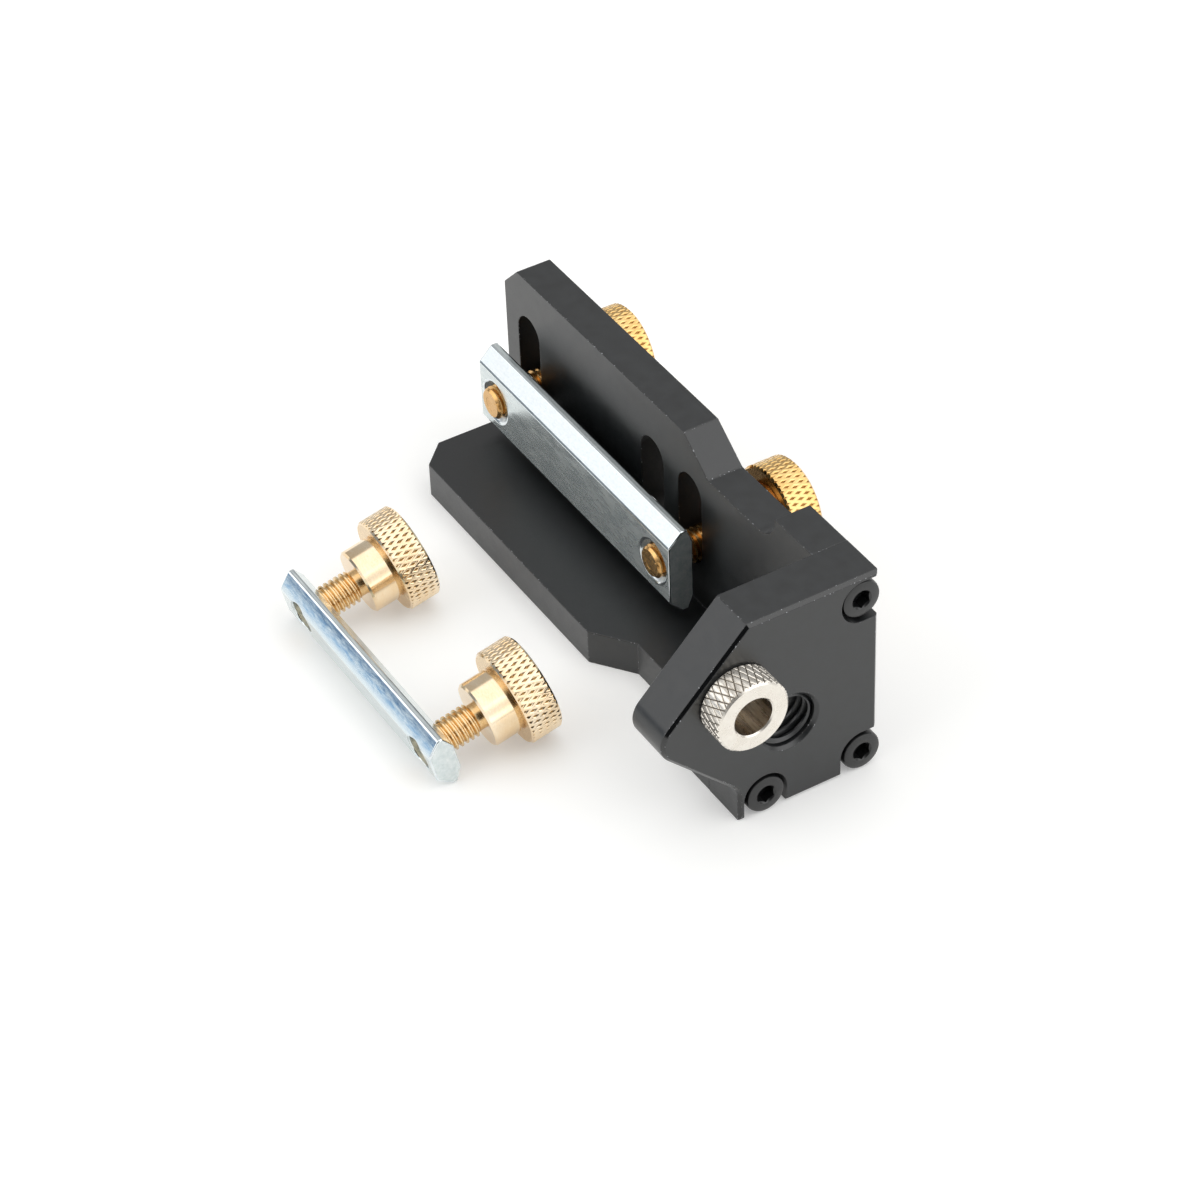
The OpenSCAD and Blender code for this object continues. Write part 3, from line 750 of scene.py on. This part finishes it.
def makeBars():
    size = clampBars
    plain, edge, darkened, slope = range(4)  # the order of their looks
    forward, upward = size["slope"]
    for node, (body, *knobs) in size["nodes"].items():
        piece = copyOfNode(node, zincLook, zincEdgeLook)
        large = node == "clamp_bar"

        def atHole(point):  # within reach of a screw's axis
            offsets = [point - Vector(joints[knob]["pos_m"]) for knob in knobs]
            ways = [Vector(joints[knob]["axis"]).normalized() for knob in knobs]
            return any(o.cross(w).length < size["holeReach"] * mm for o, w in zip(offsets, ways))

        back = Vector(joints[knobs[0]]["axis"]).normalized()
        up = alongX.cross(back)
        rear = max(v.co.dot(back) for v in piece.data.vertices)
        bevelled = size["backBevel"] * mm
        pick(piece, "VERT", lambda point: abs(rear - point.dot(back) - bevelled) < shared["nodePlace"])
        bpy.ops.transform.translate(value=back * size["lipWider"][node] * mm)
        bpy.ops.object.mode_set(mode="OBJECT")
        for side in (-1, 1):  # the upper slope is last, and its painted blue reflection is the one that fades
            way = (side * upward * up - forward * back).normalized()
            fade = crownFlat(piece, way, size["crown"][node])
        smooth(piece, size["creaseAngle"])
        pick(piece, "EDGE", lambda a, b: not (atHole(a) and atHole(b)), sharpOnly=True)
        bpy.ops.mesh.bevel(offset=size["edge"] * mm, segments=size["segments"], affect="EDGES", material=edge,
                           clamp_overlap=False)
        bpy.ops.object.mode_set(mode="OBJECT")
        easeEdges(piece, size["holeEdge"], size["holeSegments"], edge)
        flatShade(piece)
        for face in piece.data.polygons:  # painted shade on the walls of the holes, and a darker line along the corner of front and slope
            mark, normal = face.material_index, face.normal
            atCorner = normal.y < -size["cornerFront"] and size["cornerUp"][0] < normal.z < size["cornerUp"][1]
            edgeStrip = mark == edge and atCorner and abs(normal.x) < size["cornerEnd"]
            inHole = atHole(face.center) and abs(normal.dot(back)) < size["wallTilt"]
            upper = size["slopeUp"][0] < normal.dot(up) < size["slopeUp"][1]
            if large and (edgeStrip or inHole):
                face.material_index = darkened
            elif mark == plain and upper and normal.dot(back) < 0:
                face.material_index = slope
        slopeLook = metalMaterial("zincGrain") if large else metalMaterial("zincBlueAndPaintedSheen", fade)
        finished(piece, node, body, "zinc", zincLook, zincEdgeLook, zincDarkenedLook, slopeLook)


# The thumb screws: a pitted knurled head, a polished hub, a relief and a rolled thread.
thumbScrew = {
    "nodes": {  # body, length of its thread, and brass: the painted lit copy on the spare clamp, the painted shaded copy on the large clamp
        "clamp_screw_far": ("clamp_knob_far", 17.7, "shadedGolden"),
        "clamp_screw_near": ("clamp_knob_near", 17.7, "shadedGolden"),
        "spare_screw_far": ("spare_knob_far", 10.1, "pale"),
        "spare_screw_near": ("spare_knob_near", 10.1, "pale"),
    },
    "threadRadius": 2.95, "threadDepth": 0.52, "pitch": 1.0, "threadSides": 80, "runOut": 0.6,
    "tipEdge": 0.5, "dimple": 1.3, "dimpleDepth": 0.03, "neckRadius": 2.35, "neckLength": 0.7,
    "hubRadius": 5.8, "hubLength": 5.2, "hubEdge": 0.35, "hubSides": 96,
    "grooveWidth": 0.5, "grooveDepth": 0.35, "grooveSlope": 0.1,
    "headRadius": 8.55, "headWidth": 5.9, "headEdge": 0.4, "headSides": 144,
    "columns": 48, "rowHeight": 2.8, "rows": 3,
    "pits": [(0.14, 0), (0.1, -0.04), (0.09, -0.1), (0.1, -0.07)],  # inset and depth of each step into a pit
    "pitSpan": (0.13, 0.5), "pitTilt": 0.6,  # depths and tilt at which a pit gets painted shade
    "sunk": 0.2, "trimRoom": 0.1, "smoothAngle": 30,
    "underTilt": 0.9, "underReach": 0.1, "grooveReach": 0.05, "threadFrom": 0.02,  # the duller faces
}


def thumbHead():
    size = thumbScrew
    radius, ease, room = size["headRadius"], size["headEdge"], size["trimRoom"]
    hub, hubRadius, hubEase = size["hubLength"], size["hubRadius"], size["hubEdge"]
    top = hub + size["headWidth"]
    middle = (hub + top) / 2
    reach = size["rows"] * size["rowHeight"] / 2
    head = knurled("head", radius, size["columns"], size["rows"], middle - reach, middle + reach,
                   size["pits"])
    line = [(0, hub), (radius - ease, hub), (radius + room, hub + ease + room),
            (radius + room, top - ease - room), (radius - ease, top), (0, top)]
    combine(head, turned("blank", line, size["headSides"]), "INTERSECT")
    groove = hub - size["grooveWidth"]
    inner = hubRadius - size["grooveDepth"]
    line = [(0, 0), (hubRadius - hubEase, 0), (hubRadius, hubEase), (hubRadius, groove),
            (inner, groove + size["grooveSlope"]), (inner, hub + size["sunk"]), (0, hub + size["sunk"])]
    combine(head, turned("boss", line, size["hubSides"]), "UNION")
    return head


def thumbThread(length):
    size = thumbScrew
    radius, ease, pitch = size["threadRadius"], size["tipEdge"], size["pitch"]
    neck, neckLow = size["neckRadius"], -size["neckLength"]
    dimple, hollow = size["dimple"], size["dimpleDepth"]
    room, sunk = size["trimRoom"], size["sunk"]
    thread = helix("thread", threadProfile(radius, size["threadDepth"], pitch), pitch, -length, sunk)
    line = [(0, hollow - length), (dimple, hollow - length), (dimple + hollow, -length),
            (radius - ease, -length), (radius + room, ease + room - length),
            (radius + room, neckLow - size["runOut"]), (neck, neckLow), (neck, sunk), (0, sunk)]
    return combine(thread, turned("trim", line, size["threadSides"]), "INTERSECT")


def makeThumbScrews():
    size = thumbScrew
    hub = size["hubLength"]
    polished, pitShaded, rolled = range(3)  # the order of their looks
    first = thumbHead()
    smooth(first, size["smoothAngle"])
    for node, (body, length, finish) in size["nodes"].items():
        piece = ownCopy(first)
        combine(piece, thumbThread(length), "UNION")
        smooth(piece, size["smoothAngle"])
        # the floors of the pits get painted shade
        for face in piece.data.polygons:
            height, tilt = face.center.z, face.normal.z
            out = math.hypot(face.center.x, face.center.y)
            deep = size["pitSpan"][0] < size["headRadius"] - out < size["pitSpan"][1]
            inPit = deep and abs(tilt) < size["pitTilt"] and height > hub
            underHead = tilt < -size["underTilt"] and abs(height - hub) < size["underReach"]
            pastHub = hub - size["grooveWidth"] < height < hub + size["sunk"]
            inGroove = pastHub and out < size["hubRadius"] - size["grooveReach"]
            dull = underHead or inGroove or height < -size["threadFrom"]
            face.material_index = pitShaded if inPit else rolled if dull else polished
        joint = joints[body]
        putAt(piece, joint["pos_m"], joint["axis"])
        finished(piece, node, body, "brass", *brassLooks[finish])
    bpy.data.objects.remove(first)


makeAngleBody()
print("angle body done")
makeEndPlate()
print("end plate done")
makeCapScrews()
print("cap screws done")
makeBushing()
print("bushing done")
makeBars()
print("bars done")
makeThumbScrews()
print("thumb screws done")


# The studio: a white floor that keeps its shadows, and a pale surround of bright sheets and dimmer sides.
studio = {
    "floorSize": 12.0, "floorDrop": 0.02, "floorColour": "#e2e2e0", "floorRough": 0.9, "floorGlow": 0.3,
    "base": 0.5,  # level between the sheets
    "window": ((-0.65, -0.76, 0.1), (0.85, 0.95)), "windowColour": "#bccbde", "windowTop": (0.21, 0.3),
    "dimSides": {  # direction, its spread as two cosines, and what the level is multiplied by in its middle
        "darkRoom": ((0.74, -0.56, 0.37), (0.7, 0.88), 0.05),
    },
    "sheets": {  # direction, its spread as two cosines, and the level in its middle
        "overhead": ((0.12, 0.14, 0.98), (0.6, 0.76), 1.4),
        "rightSheet": ((0.72, 0.4, 0.57), (0.7, 0.9), 1.95),
        "leftSheet": ((-0.62, -0.62, 0.48), (0.954, 0.978), 1.75),
        "frontSheet": ((0.05, -0.85, 0.52), (0.8, 0.93), 1.9),
    },
}
white = (1, 1, 1, 1)


def makeFloor():
    bpy.ops.object.select_all(action="DESELECT")
    bpy.ops.mesh.primitive_plane_add(size=studio["floorSize"], location=(0, 0, -studio["floorDrop"] * mm))
    floor = bpy.context.object
    floor.name = "floor"
    material, tree, output = startMaterial("whiteFloor")[:3]
    path = addNode(tree, "ShaderNodeLightPath")
    seen = addNode(tree, "ShaderNodeMath", {},
                   {0: path.outputs["Is Camera Ray"], 1: path.outputs["Is Glossy Ray"]}, operation="ADD")
    shown = addNode(tree, "ShaderNodeMath", {}, {0: seen.outputs[0], 1: path.outputs["Is Transmission Ray"]},
                    operation="ADD", use_clamp=True)
    glow = addNode(tree, "ShaderNodeMath", {1: studio["floorGlow"]}, {0: shown.outputs[0]},
                   operation="MULTIPLY")
    shader = addNode(tree, "ShaderNodeBsdfPrincipled",
                     {"Base Color": hexColour(studio["floorColour"]), "Roughness": studio["floorRough"],
                      "Specular IOR Level": 0.0, "Emission Color": white},
                     {"Emission Strength": glow.outputs[0]})
    tree.links.new(shader.outputs[0], output.inputs["Surface"])
    floor.data.materials.append(material)


def makeSurround():
    world = bpy.data.worlds.new("paleSurround")
    bpy.context.scene.world = world
    world.use_nodes = True
    tree = world.node_tree
    tree.nodes.clear()
    output = addNode(tree, "ShaderNodeOutputWorld")
    direction = addNode(tree, "ShaderNodeTexCoord").outputs["Generated"]
    parts = addNode(tree, "ShaderNodeSeparateXYZ", {}, {0: direction})

    def toward(side, levels):  # from the first level outside its spread to the second in its middle
        way = Vector(side[0]).normalized()
        near = addNode(tree, "ShaderNodeVectorMath", {1: way}, {0: direction}, operation="DOT_PRODUCT")
        share = addNode(tree, "ShaderNodeMapRange", {**span("From", side[1]), **span("To", levels)},
                        {"Value": near.outputs["Value"]}, interpolation_type="SMOOTHSTEP")
        return share.outputs[0]

    rise = addNode(tree, "ShaderNodeMapRange", span("From", studio["windowTop"]),
                   {"Value": parts.outputs["Z"]}, interpolation_type="SMOOTHSTEP")
    clear = addNode(tree, "ShaderNodeMath", {}, {0: rise.outputs[0], 1: toward(studio["window"], (1.0, 0.0))},
                    operation="MAXIMUM")
    tint = addNode(tree, "ShaderNodeMix", {6: hexColour(studio["windowColour"]), 7: white},
                   {0: clear.outputs[0]}, data_type="RGBA")
    level = addNode(tree, "ShaderNodeValue")
    level.outputs[0].default_value = studio["base"]
    for side in studio["sheets"].values():
        level = addNode(tree, "ShaderNodeMath", {}, {0: level.outputs[0], 1: toward(side, (0.0, side[2]))},
                        operation="MAXIMUM")
    for side in studio["dimSides"].values():
        level = addNode(tree, "ShaderNodeMath", {}, {0: level.outputs[0], 1: toward(side, (1.0, side[2]))},
                        operation="MULTIPLY")
    path = addNode(tree, "ShaderNodeLightPath")
    shown = addNode(tree, "ShaderNodeMath", {}, {0: level.outputs[0], 1: path.outputs["Is Camera Ray"]},
                    operation="MAXIMUM")
    light = addNode(tree, "ShaderNodeBackground", {},
                    {"Color": tint.outputs[2], "Strength": shown.outputs[0]})
    tree.links.new(light.outputs[0], output.inputs["Surface"])


# The camera, solved from the square edges in the photograph.
view = {
    "place": (0.439945, -0.262116, 0.431870), "turn": (49.67506, 1.88363, 58.68021),
    "lens": 118.387, "sensor": 36.0, "clipStart": 0.01,
}


def makeCamera():
    data = bpy.data.cameras.new("camera")
    data.lens = view["lens"]
    data.sensor_width = view["sensor"]
    data.clip_start = view["clipStart"]
    camera = bpy.data.objects.new("camera", data)
    bpy.context.scene.collection.objects.link(camera)
    camera.location = view["place"]
    camera.rotation_euler = [math.radians(angle) for angle in view["turn"]]
    bpy.context.scene.camera = camera


makeFloor()
makeSurround()
makeCamera()
bpy.context.scene.view_settings.view_transform = "Standard"
print("studio done")
